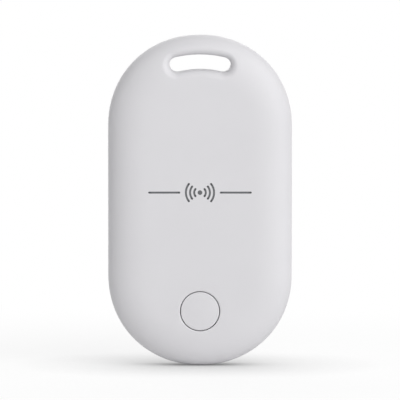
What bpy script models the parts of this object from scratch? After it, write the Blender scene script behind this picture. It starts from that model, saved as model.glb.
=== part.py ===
"""A pill-shaped bluetooth tracker tag for a key ring, as separate solids.

Metres, +Z up. The tag stands on one rounded end: its face with the button looks along -Y, its
battery door along +Y, and its key slot is at the top. The origin is under the middle of the tag,
at the height of its lowest point. The stack is set out from the back: door, cell, board. What is
left in front of the board is taken up by the button's pad and the sounder's springs.
"""

from math import asin, cos, pi, radians, sin

import bmesh
import bpy
from mathutils import Matrix, Vector

MM = 0.001
SHARP_ANGLE = 35.0

# Body outline, seen from the front, and its two soft edges
HALF_WIDTH = 16.0 * MM
HEIGHT = 57.6 * MM
DEPTH = 8.4 * MM
END_LENGTH = 15.9 * MM
END_POWER = 2.08
FRONT_ROUND = 7.0 * MM
FRONT_POWER = 2.5
BACK_ROUND = 4.0 * MM
BACK_POWER = 2.3
END_SEGMENTS = 22
EDGE_RINGS = 6

# Shells and the lap joint between them
WALL = 1.2 * MM
SEAM = 0.8 * MM
SEAM_GAP = 0.3 * MM
RIM = 0.65 * MM
RIM_DEPTH = 1.8 * MM
LIP = 0.6 * MM
LIP_DEPTH = 1.1 * MM
LIP_GAP = 0.15 * MM
LIP_ROOT = 0.3 * MM
SEAL_GAP = 0.1 * MM

# Key slot
SLOT_FROM_TOP = 4.7 * MM
SLOT_RADIUS = 1.34 * MM
SLOT_BEND = 17.3 * MM
SLOT_HALF_SPAN = 4.0 * MM
SLOT_EDGE = 1.1 * MM
SLOT_WALL = 1.0 * MM
SLOT_ROOT = 0.2 * MM
SLOT_SINK_FRONT = 0.15 * MM
SLOT_SINK_BACK = 0.05 * MM

# Button
BUTTON_HEIGHT = 9.7 * MM
BUTTON_RADIUS = 3.28 * MM
BUTTON_GAP = 0.3 * MM
BUTTON_TRAVEL = 0.3 * MM
BUTTON_FLANGE = 0.8 * MM
FLANGE_THICK = 0.3 * MM
BUTTON_TOP = 1.1 * MM
BUTTON_CHAMFER = 0.15 * MM
PAD_RADIUS = 2.0 * MM

# Battery door, its bayonet and its seal
DOOR_THICK = 1.0 * MM
DOOR_MARGIN = 0.8 * MM
DOOR_GAP = 0.15 * MM
DOOR_CHAMFER = 0.2 * MM
SKIRT_GAP = 0.4 * MM
SKIRT_WALL = 0.6 * MM
LUG_COUNT = 3
LUG_REACH = 0.5 * MM
LUG_THICK = 0.6 * MM
LUG_ANGLE = 22.0
NOTCH_ANGLE = 27.0
LEDGE_THICK = 0.6 * MM
COLLAR_WALL = 0.95 * MM
DOOR_SEAL_RADIUS = 0.3 * MM
COIN_SLOT_LENGTH = 13.0 * MM
COIN_SLOT_WIDTH = 1.8 * MM
COIN_SLOT_DEPTH = 0.55 * MM

# Coin cell
CELL_RADIUS = 10.0 * MM
CELL_THICK = 3.2 * MM
CELL_SHEET = 0.25 * MM
CELL_CRIMP = 0.7 * MM
CELL_RING = 0.3 * MM
CELL_GAP = 0.2 * MM
CELL_STEP = 0.2 * MM
ELECTRODE_GAP = 0.1 * MM
SEPARATOR = 0.1 * MM

# Board, tray and what holds them
CONTACT_SPACE = 0.5 * MM
CONTACT_SHEET = 0.15 * MM
POSITIVE_WIDTH = 4.0 * MM
POSITIVE_FOOT = 2.4 * MM
NEGATIVE_WIDTH = 4.0 * MM
NEGATIVE_RUN = 6.0 * MM
BOARD_THICK = 0.6 * MM
BOARD_SIDE_GAP = 0.55 * MM
SOLDER_GAP = 0.1 * MM
STACK_GAP = 0.15 * MM
TRAY_THICK = 1.2 * MM
TRAY_SIDE_GAP = 0.7 * MM
TRAY_CLEAR = 0.3 * MM
SCREW_SHANK = 0.5 * MM
SCREW_HEAD = 1.2 * MM
SCREW_HEAD_THICK = 0.45 * MM
SCREW_GAP = 0.15 * MM
SCREW_TIP_GAP = 0.2 * MM
BOSS_WALL = 0.95 * MM
SCREW_SIDE = 4.9 * MM
SCREW_FROM_BUTTON = 3.4 * MM
SCREW_FROM_SLOT = 7.6 * MM
SCREW_TAPER = 1.2 * MM

# Switch under the button
SWITCH_WIDTH = 3.8 * MM
SWITCH_LENGTH = 3.2 * MM
SWITCH_BASE = 0.6 * MM
SWITCH_FLOOR = 0.2 * MM
SWITCH_POCKET = 1.35 * MM
SWITCH_COVER = 0.1 * MM
PLUNGER_RADIUS = 0.85 * MM
PLUNGER_GAP = 0.1 * MM
DOME_RADIUS = 1.2 * MM
DOME_RISE = 0.12 * MM
DOME_SHEET = 0.06 * MM
LEG_WIDTH = 0.5 * MM
LEG_REACH = 0.7 * MM
LEG_SHEET = 0.15 * MM

# Sounder bonded inside the face
SOUNDER_RADIUS = 7.5 * MM
SOUNDER_PLATE = 0.15 * MM
CERAMIC_RADIUS = 5.0 * MM
CERAMIC_THICK = 0.2 * MM
ADHESIVE_WIDTH = 1.2 * MM
ADHESIVE_THICK = 0.15 * MM
ANTENNA_ZONE = 2.5 * MM
SPRING_SHEET = 0.12 * MM
SPRING_WIDTH = 1.0 * MM
SPRING_RUN = 2.4 * MM

# Parts of the board: name, sideways, upwards from the button, width, length and thickness, in mm
CHIPS = (
    ("radio_chip", -4.0, 11.0, 5.0, 5.0, 0.85),
    ("main_crystal", 1.2, 12.0, 2.0, 1.6, 0.5),
    ("clock_crystal", 1.6, 8.6, 3.2, 1.5, 0.75),
    ("inductor", -8.6, 12.4, 1.0, 1.8, 0.8),
    ("capacitor_1", -8.6, 9.4, 0.8, 1.5, 0.7),
    ("capacitor_2", 4.6, 12.4, 0.6, 1.1, 0.5),
    ("capacitor_3", 6.4, 12.4, 0.6, 1.1, 0.5),
    ("capacitor_4", 8.2, 12.4, 0.8, 1.5, 0.7),
    ("resistor_1", 5.6, 8.8, 1.1, 0.6, 0.35),
    ("resistor_2", 8.0, 8.8, 1.1, 0.6, 0.35),
)
ANTENNA_WIDTH = 5.2 * MM
ANTENNA_LENGTH = 1.5 * MM
ANTENNA_THICK = 1.0 * MM

# Places that follow from the sizes above, from the back face to the front one
BACK_FACE = DEPTH / 2
FRONT_FACE = -DEPTH / 2
FRONT_INSIDE = FRONT_FACE + WALL
BACK_INSIDE = BACK_FACE - WALL
STEP_FLOOR = SEAM - RIM_DEPTH
LIP_END = SEAM - LIP_DEPTH
DOOR_UNDER = BACK_FACE - DOOR_THICK
CELL_TOP = DOOR_UNDER - CELL_GAP
CELL_BOTTOM = CELL_TOP - CELL_THICK
BOARD_BACK = CELL_BOTTOM - CONTACT_SPACE
BOARD_FRONT = BOARD_BACK - BOARD_THICK
TRAY_BOTTOM = BOARD_BACK + STACK_GAP
TRAY_TOP = TRAY_BOTTOM + TRAY_THICK
SLOT_HEIGHT = HEIGHT - SLOT_FROM_TOP
SLOT_LOW = SLOT_HEIGHT - SLOT_BEND * (1 - cos(asin(SLOT_HALF_SPAN / SLOT_BEND))) - SLOT_RADIUS
BUTTON_REACH = BUTTON_RADIUS + BUTTON_FLANGE
BOARD_MARGIN = WALL + BOARD_SIDE_GAP
TRAY_MARGIN = WALL + TRAY_SIDE_GAP
BOARD_TOP = SLOT_LOW - SLOT_WALL - 3 * TRAY_CLEAR
CELL_HEIGHT = (BUTTON_HEIGHT + BUTTON_REACH + SLOT_LOW - SLOT_WALL) / 2
SKIRT_INSIDE = CELL_RADIUS + SKIRT_GAP
SKIRT_OUTSIDE = SKIRT_INSIDE + SKIRT_WALL
LUG_RADIUS = SKIRT_OUTSIDE + LUG_REACH
DOOR_RADIUS = SKIRT_OUTSIDE + DOOR_MARGIN
RECESS_RADIUS = DOOR_RADIUS + DOOR_GAP
LEDGE_TOP = DOOR_UNDER - 2 * DOOR_SEAL_RADIUS - 2 * SEAL_GAP
LUG_TOP = LEDGE_TOP - LEDGE_THICK - DOOR_GAP
SKIRT_END = LUG_TOP - LUG_THICK
COLLAR_END = SKIRT_END - DOOR_GAP
LUG_CHANNEL = LUG_RADIUS + DOOR_GAP
FLANGE_FRONT = FRONT_INSIDE + STACK_GAP
FLANGE_BACK = FLANGE_FRONT + FLANGE_THICK
SWITCH_BACK = BOARD_FRONT - SOLDER_GAP
SWITCH_RIM = SWITCH_BACK - SWITCH_BASE
COVER_BACK = SWITCH_RIM - SOLDER_GAP
COVER_FRONT = COVER_BACK - SWITCH_COVER
PLUNGER_END = COVER_FRONT - BUTTON_TRAVEL
PAD_END = PLUNGER_END - SEAL_GAP
SOUNDER_HEIGHT = BOARD_TOP - ANTENNA_ZONE - SOUNDER_RADIUS
SOUNDER_FRONT = FRONT_INSIDE + ADHESIVE_THICK + 2 * SEAL_GAP
SOUNDER_BACK = SOUNDER_FRONT + SOUNDER_PLATE
CERAMIC_BACK = SOUNDER_BACK + SEAL_GAP + CERAMIC_THICK

TAG = bpy.data.collections.new("bluetooth tracker tag")
CUTTERS = bpy.data.collections.new("cutters")


def clear_scene():
    for obj in list(bpy.data.objects):
        bpy.data.objects.remove(obj, do_unlink=True)
    for collection in (TAG, CUTTERS):
        bpy.context.scene.collection.children.link(collection)


def finish(obj, look, color, roughness, metallic=0.0):
    """Gives a part its own Principled material."""
    material = bpy.data.materials.new(obj.name + " " + look)
    material.use_nodes = True
    shader = material.node_tree.nodes["Principled BSDF"]
    shader.inputs["Base Color"].default_value = (*color, 1.0)
    shader.inputs["Roughness"].default_value = roughness
    shader.inputs["Metallic"].default_value = metallic
    obj.data.materials.clear()
    obj.data.materials.append(material)


def white_plastic(obj):
    finish(obj, "white matt ABS", (0.71, 0.71, 0.73), 0.55)


def black_plastic(obj):
    finish(obj, "black glass-filled nylon", (0.03, 0.03, 0.035), 0.6)


def seal_rubber(obj):
    finish(obj, "grey silicone", (0.25, 0.26, 0.28), 0.7)


def board_laminate(obj):
    finish(obj, "green solder mask", (0.02, 0.13, 0.05), 0.35)


def bright_steel(obj):
    finish(obj, "nickel-plated steel", (0.66, 0.65, 0.63), 0.25, 1.0)


def spring_bronze(obj):
    finish(obj, "gold-plated bronze", (0.78, 0.58, 0.28), 0.3, 1.0)


def rolled_brass(obj):
    finish(obj, "rolled brass", (0.70, 0.50, 0.22), 0.32, 1.0)


def pale_ceramic(obj):
    finish(obj, "silvered ceramic", (0.74, 0.73, 0.70), 0.4)


def chip_resin(obj):
    finish(obj, "black moulding resin", (0.02, 0.02, 0.022), 0.5)


def powder_mix(obj):
    finish(obj, "pressed dark powder", (0.04, 0.04, 0.045), 0.8)


def add_object(name, mesh, collection=None):
    obj = bpy.data.objects.new(name, mesh)
    (collection or TAG).objects.link(obj)
    if collection is CUTTERS:
        obj.hide_render = True
        obj.display_type = "WIRE"
    return obj


def object_from(name, bm, collection=None):
    """Turns a bmesh into an object, with its faces outward."""
    bmesh.ops.recalc_face_normals(bm, faces=bm.faces)
    mesh = bpy.data.meshes.new(name)
    bm.to_mesh(mesh)
    bm.free()
    mesh.shade_smooth()
    mesh.set_sharp_from_angle(angle=radians(SHARP_ANGLE))
    return add_object(name, mesh, collection)


def signed_power(value, power):
    return abs(value) ** power * (1 if value >= 0 else -1)


def pill_ring(inset, depth, high=HEIGHT):
    """The body's outline drawn in by inset, as a ring of points at the given depth."""
    wide = HALF_WIDTH - inset
    tall = END_LENGTH - inset
    points = []
    for side in (1, -1):
        middle = high - inset - tall if side > 0 else inset + tall
        for step in range(END_SEGMENTS + 1):
            turn = pi * step / END_SEGMENTS
            across = signed_power(cos(turn), 2 / END_POWER)
            along = sin(turn) ** (2 / END_POWER) if 0 < step < END_SEGMENTS else 0.0
            points.append(Vector((side * wide * across, depth, middle + side * tall * along)))
    return points


def capsule_ring(radius, depth, segments=8):
    """The key slot's bent outline at the given half-width: two arcs and two round ends."""
    half_angle = asin(SLOT_HALF_SPAN / SLOT_BEND)
    centre = Vector((0, depth, SLOT_HEIGHT - SLOT_BEND))
    points = []
    for side in (1, -1):
        for step in range(segments):
            angle = side * half_angle * (1 - 2 * step / segments)
            out = SLOT_BEND + side * radius
            points.append(centre + Vector((-out * sin(angle), 0, out * cos(angle))))
        end = centre + SLOT_BEND * Vector((side * sin(half_angle), 0, cos(half_angle)))
        for step in range(segments):
            angle = side * half_angle + pi * step / segments + (0 if side > 0 else pi)
            points.append(end + radius * Vector((sin(angle), 0, cos(angle))))
    return points


def loft(name, rings, collection=None):
    """Skins rings of equal count one after another and closes both ends."""
    bm = bmesh.new()
    rows = [[bm.verts.new(point) for point in ring] for ring in rings]
    for row, after in zip(rows, rows[1:]):
        for i, vert in enumerate(row):
            following = (i + 1) % len(row)
            bm.faces.new((vert, row[following], after[following], after[i]))
    bm.faces.new(rows[0])
    bm.faces.new(rows[-1])
    return object_from(name, bm, collection)


def closed_band(name, rings):
    """Skins rings one after another and the last back to the first, for a ring-shaped part."""
    bm = bmesh.new()
    rows = [[bm.verts.new(point) for point in ring] for ring in rings]
    for row, after in zip(rows, rows[1:] + rows[:1]):
        for i, vert in enumerate(row):
            following = (i + 1) % len(row)
            bm.faces.new((vert, row[following], after[following], after[i]))
    return object_from(name, bm)


def turned(name, profile, height, depth=0.0, toward_back=True, steps=40, collection=None):
    """Turns a closed profile of (radius, distance) about an axis along Y, with a Screw."""
    bm = bmesh.new()
    verts = [bm.verts.new((radius, 0, along)) for radius, along in profile]
    on_axis = profile[0][0] == 0 and profile[-1][0] == 0
    for start, end in zip(verts, verts[1:] if on_axis else verts[1:] + verts[:1]):
        bm.edges.new((start, end))
    mesh = bpy.data.meshes.new(name)
    bm.to_mesh(mesh)
    bm.free()
    obj = add_object(name, mesh, collection)
    obj.location = (0, depth, height)
    obj.rotation_euler = (radians(-90 if toward_back else 90), 0, 0)
    screw = obj.modifiers.new("Turn", "SCREW")
    screw.steps = steps
    screw.render_steps = steps
    screw.use_merge_vertices = True
    screw.merge_threshold = 1e-6
    screw.use_smooth_shade = True
    return obj


def disc(name, radius, back, front, height, across=0.0, steps=40, collection=None):
    """A plain turned disc between two depths."""
    profile = ((0, back), (radius, back), (radius, front), (0, front))
    obj = turned(name, profile, height, steps=steps, collection=collection)
    obj.location.x = across
    return obj


def ring(name, inner, outer, back, front, height, steps=40):
    profile = ((inner, back), (outer, back), (outer, front), (inner, front))
    return turned(name, profile, height, steps=steps)


def block(name, size, centre, collection=None):
    """A plain box."""
    bm = bmesh.new()
    bmesh.ops.create_cube(bm, size=1.0)
    bmesh.ops.scale(bm, verts=bm.verts, vec=size)
    bmesh.ops.translate(bm, verts=bm.verts, vec=centre)
    return object_from(name, bm, collection)


def plate(name, inset, back, front, high):
    """A flat plate with the body's outline, drawn in by inset and ending at a given height."""
    bm = bmesh.new()
    outline = pill_ring(inset, back, high + inset)
    face = bm.faces.new([bm.verts.new(point) for point in outline])
    pulled = bmesh.ops.extrude_face_region(bm, geom=[face])
    moved = [item for item in pulled["geom"] if isinstance(item, bmesh.types.BMVert)]
    bmesh.ops.translate(bm, verts=moved, vec=(0, front - back, 0))
    return object_from(name, bm)


def strip(name, path, width, sheet, place, turn=0.0):
    """A bent strip of sheet metal: a path of (run, depth) points, widened and given a thickness."""
    bm = bmesh.new()
    edges = []
    verts = [bm.verts.new((-width / 2, depth, run)) for run, depth in path]
    for start, end in zip(verts, verts[1:]):
        edges.append(bm.edges.new((start, end)))
    pulled = bmesh.ops.extrude_edge_only(bm, edges=edges)
    moved = [item for item in pulled["geom"] if isinstance(item, bmesh.types.BMVert)]
    bmesh.ops.translate(bm, verts=moved, vec=(width, 0, 0))
    spin = Matrix.Rotation(turn, 4, "Y")
    bmesh.ops.transform(bm, matrix=Matrix.Translation(place) @ spin, verts=bm.verts)
    obj = object_from(name, bm)
    solidify = obj.modifiers.new("Sheet", "SOLIDIFY")
    solidify.thickness = sheet
    solidify.offset = 0.0
    return obj


def combine(obj, other, operation):
    modifier = obj.modifiers.new(operation.title() + " " + other.name, "BOOLEAN")
    modifier.operation = operation
    modifier.solver = "EXACT"
    modifier.object = other


def cut(obj, *cutters):
    for cutter in cutters:
        combine(obj, cutter, "DIFFERENCE")


def edge_angle(depth, half_depth, power):
    """The angle along a soft edge at which it has reached the given depth."""
    return asin((abs(depth) / half_depth) ** (power / 2))


def edge_point(angle, reach, half_depth, power):
    """How far in, and how deep, a soft edge is at an angle from the widest line."""
    along = reach * (1 - max(cos(angle), 0.0) ** (2 / power))
    return along, half_depth * sin(angle) ** (2 / power)


def edge_rings(reach, half_depth, power, start=0.0, inset=0.0, side=1):
    """Rings of the body along one soft edge, from an angle to where the face is flat."""
    rings = []
    for step in range(EDGE_RINGS + 1):
        angle = start + (pi / 2 - start) * step / EDGE_RINGS
        along, depth = edge_point(angle, reach, half_depth, power)
        rings.append(pill_ring(inset + along, side * depth))
    return rings


def seam_inset(depth):
    return edge_point(edge_angle(depth, BACK_FACE, BACK_POWER), BACK_ROUND, BACK_FACE, BACK_POWER)[0]


def slot_cutter():
    """The key slot with its rolled mouths, longer than the body is deep."""
    rings = []
    mouth = SLOT_RADIUS + SLOT_EDGE
    for side, sink in ((-1, SLOT_SINK_FRONT), (1, SLOT_SINK_BACK)):
        face = side * (DEPTH / 2 - sink)
        half = [capsule_ring(mouth + SLOT_EDGE, face + side * 0.5 * SLOT_EDGE)]
        for step in range(5):
            angle = pi / 2 * step / 4
            radius = mouth - SLOT_EDGE * sin(angle)
            half.append(capsule_ring(radius, face - side * SLOT_EDGE * (1 - cos(angle))))
        rings += half if side < 0 else half[::-1]
    return loft("slot cutter", rings, CUTTERS)


def slot_wall(name, back, front):
    """The wall around the key slot inside a shell."""
    outline = SLOT_RADIUS + SLOT_WALL
    return loft(name, [capsule_ring(outline, front), capsule_ring(outline, back)], CUTTERS)


def screw_places():
    """Where the four tray screws stand, as (across, up)."""
    low = BUTTON_HEIGHT + SCREW_FROM_BUTTON
    high = SLOT_LOW - SCREW_FROM_SLOT
    side = HALF_WIDTH - SCREW_SIDE
    upper = side - SCREW_TAPER
    return [(side, low), (-side, low), (upper, high), (-upper, high)]


def screw_hole(name, number, back, front, seat=None):
    """A clearance hole for one tray screw, with a seat for its head where it has one."""
    across, up = screw_places()[number]
    shank = SCREW_SHANK + SCREW_GAP
    head = SCREW_HEAD + SCREW_GAP
    profile = [(0, back), (shank, back), (shank, front), (0, front)]
    if seat is not None:
        profile[1:2] = [(head, back), (head, seat), (shank, seat)]
    hole = turned("{} {}".format(name, number), profile, up, steps=20, collection=CUTTERS)
    hole.location.x = across
    return hole


def front_shell(slot):
    """The deep front half, with its face, its sides and the step that the lip enters."""
    inner_reach = FRONT_ROUND - WALL
    inner_half = BACK_FACE - WALL
    step_angle = edge_angle(STEP_FLOOR, inner_half, FRONT_POWER)
    inside = edge_rings(inner_reach, inner_half, FRONT_POWER, step_angle, WALL, -1)[::-1]
    rim = [pill_ring(RIM, STEP_FLOOR), pill_ring(RIM, SEAM), pill_ring(seam_inset(SEAM), SEAM)]
    outside = edge_rings(FRONT_ROUND, BACK_FACE, FRONT_POWER, side=-1)
    shell = loft("front_shell", inside + rim + outside)
    combine(shell, slot_wall("front slot wall", SEAM, FRONT_INSIDE - SLOT_ROOT), "UNION")
    for number in range(4):
        across, up = screw_places()[number]
        boss_end = BOARD_FRONT - STACK_GAP
        boss_start = FRONT_INSIDE - SLOT_ROOT
        name = "boss {}".format(number)
        radius = SCREW_SHANK + SCREW_GAP + BOSS_WALL
        boss = disc(name, radius, boss_end, boss_start, up, across, steps=24, collection=CUTTERS)
        combine(shell, boss, "UNION")
        cut(shell, screw_hole("boss hole", number, 0, FRONT_INSIDE))
    hole_radius = BUTTON_RADIUS + BUTTON_GAP
    hole = disc("button hole", hole_radius, 0, 2 * FRONT_FACE, BUTTON_HEIGHT, collection=CUTTERS)
    seat_radius = BUTTON_REACH + BUTTON_GAP
    seat = disc("button seat", seat_radius, 0, FRONT_INSIDE, BUTTON_HEIGHT, collection=CUTTERS)
    cut(shell, slot, hole, seat)
    white_plastic(shell)
    return shell


def rear_cover(slot):
    """The shallow rear half, with its lip and the collar that the battery door turns in."""
    lip_outer = RIM + LIP_GAP
    lip_inner = lip_outer + LIP
    seam = SEAM + SEAM_GAP
    inner_half = BACK_FACE - WALL
    inner_start = edge_angle(seam + LIP_ROOT, inner_half, BACK_POWER)
    inner_reach = BACK_ROUND - WALL
    inside = edge_rings(inner_reach, inner_half, BACK_POWER, inner_start, WALL)[::-1]
    lip = [
        pill_ring(lip_inner, seam),
        pill_ring(lip_inner, LIP_END),
        pill_ring(lip_outer, LIP_END),
        pill_ring(lip_outer, seam),
        pill_ring(seam_inset(seam), seam),
    ]
    start = edge_angle(seam, BACK_FACE, BACK_POWER)
    outside = edge_rings(BACK_ROUND, BACK_FACE, BACK_POWER, start)[1:]
    cover = loft("rear_cover", inside + lip + outside)
    combine(cover, slot_wall("rear slot wall", BACK_INSIDE + SLOT_ROOT, seam), "UNION")
    collar_radius = LUG_CHANNEL + COLLAR_WALL
    top = BACK_INSIDE + SLOT_ROOT
    collar = disc("collar", collar_radius, top, COLLAR_END, CELL_HEIGHT, collection=CUTTERS)
    combine(cover, collar, "UNION")
    bore = SKIRT_OUTSIDE + DOOR_GAP
    under = LEDGE_TOP - LEDGE_THICK
    opening = turned("door opening", (
        (0, DEPTH),
        (RECESS_RADIUS, DEPTH),
        (RECESS_RADIUS, LEDGE_TOP),
        (bore, LEDGE_TOP),
        (bore, under),
        (LUG_CHANNEL, under),
        (LUG_CHANNEL, FRONT_FACE),
        (0, FRONT_FACE),
    ), CELL_HEIGHT, steps=48, collection=CUTTERS)
    reach = LUG_CHANNEL + SEAL_GAP
    notches = arc_blocks("notches", bore / 2, reach, BACK_FACE, FRONT_FACE, NOTCH_ANGLE)
    cut(cover, slot, opening, notches)
    white_plastic(cover)
    return cover


def arc_blocks(name, inner, outer, back, front, angle):
    """Equal arc-shaped blocks around the cell's axis: the lugs, and the notches they lift by."""
    bm = bmesh.new()
    for number in range(LUG_COUNT):
        first = number * 360 / LUG_COUNT - angle / 2
        corners = ((inner, back), (outer, back), (outer, front), (inner, front))
        section = bm.faces.new([bm.verts.new((r, y, 0)) for r, y in corners])
        bmesh.ops.rotate(bm, verts=section.verts, matrix=Matrix.Rotation(radians(first), 3, "Y"))
        bmesh.ops.spin(
            bm, geom=[section], cent=(0, 0, 0), axis=(0, 1, 0), angle=radians(angle), steps=4
        )
    bmesh.ops.translate(bm, verts=bm.verts, vec=(0, 0, CELL_HEIGHT))
    return object_from(name, bm, CUTTERS)


def shell_gasket():
    """The seal squeezed between the rear cover's lip and the front shell's step."""
    outer = RIM + SEAL_GAP
    inner = WALL + SEAL_GAP
    low = STEP_FLOOR + SEAL_GAP
    high = LIP_END - SEAL_GAP
    rings = [
        pill_ring(outer, low),
        pill_ring(outer, high),
        pill_ring(inner, high),
        pill_ring(inner, low),
    ]
    gasket = closed_band("shell_gasket", rings)
    seal_rubber(gasket)
    return gasket


def battery_door():
    """A round cover with a coin slot, a skirt around the cell and three bayonet lugs."""
    rim = DOOR_RADIUS - DOOR_CHAMFER
    profile = (
        (0, BACK_FACE),
        (rim, BACK_FACE),
        (DOOR_RADIUS, BACK_FACE - DOOR_CHAMFER),
        (DOOR_RADIUS, DOOR_UNDER),
        (SKIRT_OUTSIDE, DOOR_UNDER),
        (SKIRT_OUTSIDE, SKIRT_END),
        (SKIRT_INSIDE, SKIRT_END),
        (SKIRT_INSIDE, DOOR_UNDER),
        (0, DOOR_UNDER),
    )
    door = turned("battery_door", profile, CELL_HEIGHT, steps=48)
    root = SKIRT_OUTSIDE - SKIRT_WALL / 2
    lugs = arc_blocks("lugs", root, LUG_RADIUS, LUG_TOP, SKIRT_END, LUG_ANGLE)
    combine(door, lugs, "UNION")
    size = (COIN_SLOT_LENGTH, 2 * COIN_SLOT_DEPTH, COIN_SLOT_WIDTH)
    slot = block("coin slot", size, (0, BACK_FACE, CELL_HEIGHT), collection=CUTTERS)
    cut(door, slot)
    white_plastic(door)
    return door


def battery_door_seal():
    """The O-ring between the door's skirt and the wall of its recess."""
    middle = (SKIRT_OUTSIDE + RECESS_RADIUS) / 2
    depth = DOOR_UNDER - SEAL_GAP - DOOR_SEAL_RADIUS
    sides = 8
    profile = []
    for step in range(sides):
        angle = 2 * pi * step / sides
        across = middle + DOOR_SEAL_RADIUS * sin(angle)
        profile.append((across, depth + DOOR_SEAL_RADIUS * cos(angle)))
    seal = turned("battery_door_seal", profile, CELL_HEIGHT, steps=48)
    seal_rubber(seal)
    return seal


def button_cap():
    """The round button: a flush top, a flange behind the face and a pocket for the pad."""
    edge = BUTTON_RADIUS - BUTTON_CHAMFER
    pocket = PAD_RADIUS + BUTTON_GAP
    ceiling = -FRONT_FACE - BUTTON_TOP
    profile = (
        (0, -FRONT_FACE),
        (edge, -FRONT_FACE),
        (BUTTON_RADIUS, -FRONT_FACE - BUTTON_CHAMFER),
        (BUTTON_RADIUS, -FLANGE_FRONT),
        (BUTTON_REACH, -FLANGE_FRONT),
        (BUTTON_REACH, -FLANGE_BACK),
        (pocket, -FLANGE_BACK),
        (pocket, ceiling),
        (0, ceiling),
    )
    cap = turned("button_cap", profile, BUTTON_HEIGHT, toward_back=False)
    white_plastic(cap)
    return cap


def button_pad():
    """The silicone pad that carries the press from the cap to the switch."""
    front = FRONT_FACE + BUTTON_TOP + SEAL_GAP
    pad = disc("button_pad", PAD_RADIUS, PAD_END, front, BUTTON_HEIGHT, steps=32)
    seal_rubber(pad)
    return pad


def switch():
    """The tactile switch: base, snap dome, plunger, cover and four legs."""
    middle = (0, (SWITCH_BACK + SWITCH_RIM) / 2, BUTTON_HEIGHT)
    size = (SWITCH_WIDTH, SWITCH_BASE, SWITCH_LENGTH)
    base = block("switch_base", size, middle)
    floor = SWITCH_BACK - SWITCH_FLOOR
    pocket = disc(
        "switch pocket", SWITCH_POCKET, floor, 2 * SWITCH_RIM, BUTTON_HEIGHT, steps=32,
        collection=CUTTERS,
    )
    cut(base, pocket)
    black_plastic(base)
    middle = (0, (COVER_BACK + COVER_FRONT) / 2, BUTTON_HEIGHT)
    cover = block("switch_cover", (SWITCH_WIDTH, SWITCH_COVER, SWITCH_LENGTH), middle)
    hole = disc(
        "plunger hole", PLUNGER_RADIUS + PLUNGER_GAP, 0, 2 * COVER_FRONT, BUTTON_HEIGHT, steps=24,
        collection=CUTTERS,
    )
    cut(cover, hole)
    bright_steel(cover)
    switch_dome(floor)
    foot = switch_dome_top(floor) - PLUNGER_GAP
    plunger = disc("switch_plunger", PLUNGER_RADIUS, foot, PLUNGER_END, BUTTON_HEIGHT, steps=24)
    black_plastic(plunger)
    for number in range(4):
        across = (1 if number % 2 else -1) * (SWITCH_WIDTH / 2 + SOLDER_GAP + LEG_REACH / 2)
        up = BUTTON_HEIGHT + (1 if number < 2 else -1) * (SWITCH_LENGTH - LEG_WIDTH) / 2
        depth = BOARD_FRONT - SOLDER_GAP - LEG_SHEET / 2
        name = "switch_leg_{}".format(number + 1)
        leg = block(name, (LEG_REACH, LEG_SHEET, LEG_WIDTH), (across, depth, up))
        bright_steel(leg)


def switch_dome_top(floor):
    return floor - SOLDER_GAP - DOME_SHEET - DOME_RISE


def switch_dome(floor):
    """A shallow pressed dome that snaps under the plunger."""
    top = switch_dome_top(floor)
    rim = top + DOME_RISE
    profile = (
        (0, top + DOME_SHEET),
        (DOME_RADIUS * 0.55, top + DOME_SHEET + DOME_RISE * 0.3),
        (DOME_RADIUS, rim + DOME_SHEET),
        (DOME_RADIUS, rim),
        (DOME_RADIUS * 0.55, top + DOME_RISE * 0.3),
        (0, top),
    )
    dome = turned("switch_dome", profile, BUTTON_HEIGHT, steps=24)
    bright_steel(dome)
    return dome


def circuit_board():
    board = plate("circuit_board", BOARD_MARGIN, BOARD_BACK, BOARD_FRONT, BOARD_TOP)
    for number in range(4):
        cut(board, screw_hole("board hole", number, BACK_FACE, FRONT_FACE))
    board_laminate(board)
    return board


def cell_tray():
    """The frame that centres the cell and clamps the board onto the bosses."""
    tray = plate("cell_tray", TRAY_MARGIN, TRAY_TOP, TRAY_BOTTOM, BOARD_TOP)
    well = CELL_RADIUS + TRAY_CLEAR
    hole = disc("cell well", well, MM * 2, -MM * 2, CELL_HEIGHT, collection=CUTTERS)
    window_size = (POSITIVE_WIDTH + 2 * TRAY_CLEAR, 2 * TRAY_THICK + MM, POSITIVE_FOOT + MM)
    window_at = CELL_HEIGHT + CELL_RADIUS + (POSITIVE_FOOT + TRAY_CLEAR) / 2
    window = block("contact window", window_size, (0, TRAY_BOTTOM, window_at), collection=CUTTERS)
    cut(tray, hole, window)
    for number in range(4):
        seat = TRAY_TOP - SCREW_HEAD_THICK - SCREW_GAP
        cut(tray, screw_hole("tray hole", number, BACK_FACE, FRONT_FACE, seat))
    black_plastic(tray)
    return tray


def tray_screws():
    for number, (across, up) in enumerate(screw_places()):
        neck = TRAY_TOP - SCREW_HEAD_THICK
        tip = FRONT_INSIDE + SCREW_TIP_GAP
        profile = (
            (0, TRAY_TOP),
            (SCREW_HEAD, TRAY_TOP),
            (SCREW_HEAD, neck),
            (SCREW_SHANK, neck),
            (SCREW_SHANK, tip + SCREW_SHANK / 2),
            (0, tip),
        )
        screw = turned("tray_screw_{}".format(number + 1), profile, up, steps=20)
        screw.location.x = across
        bright_steel(screw)


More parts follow.
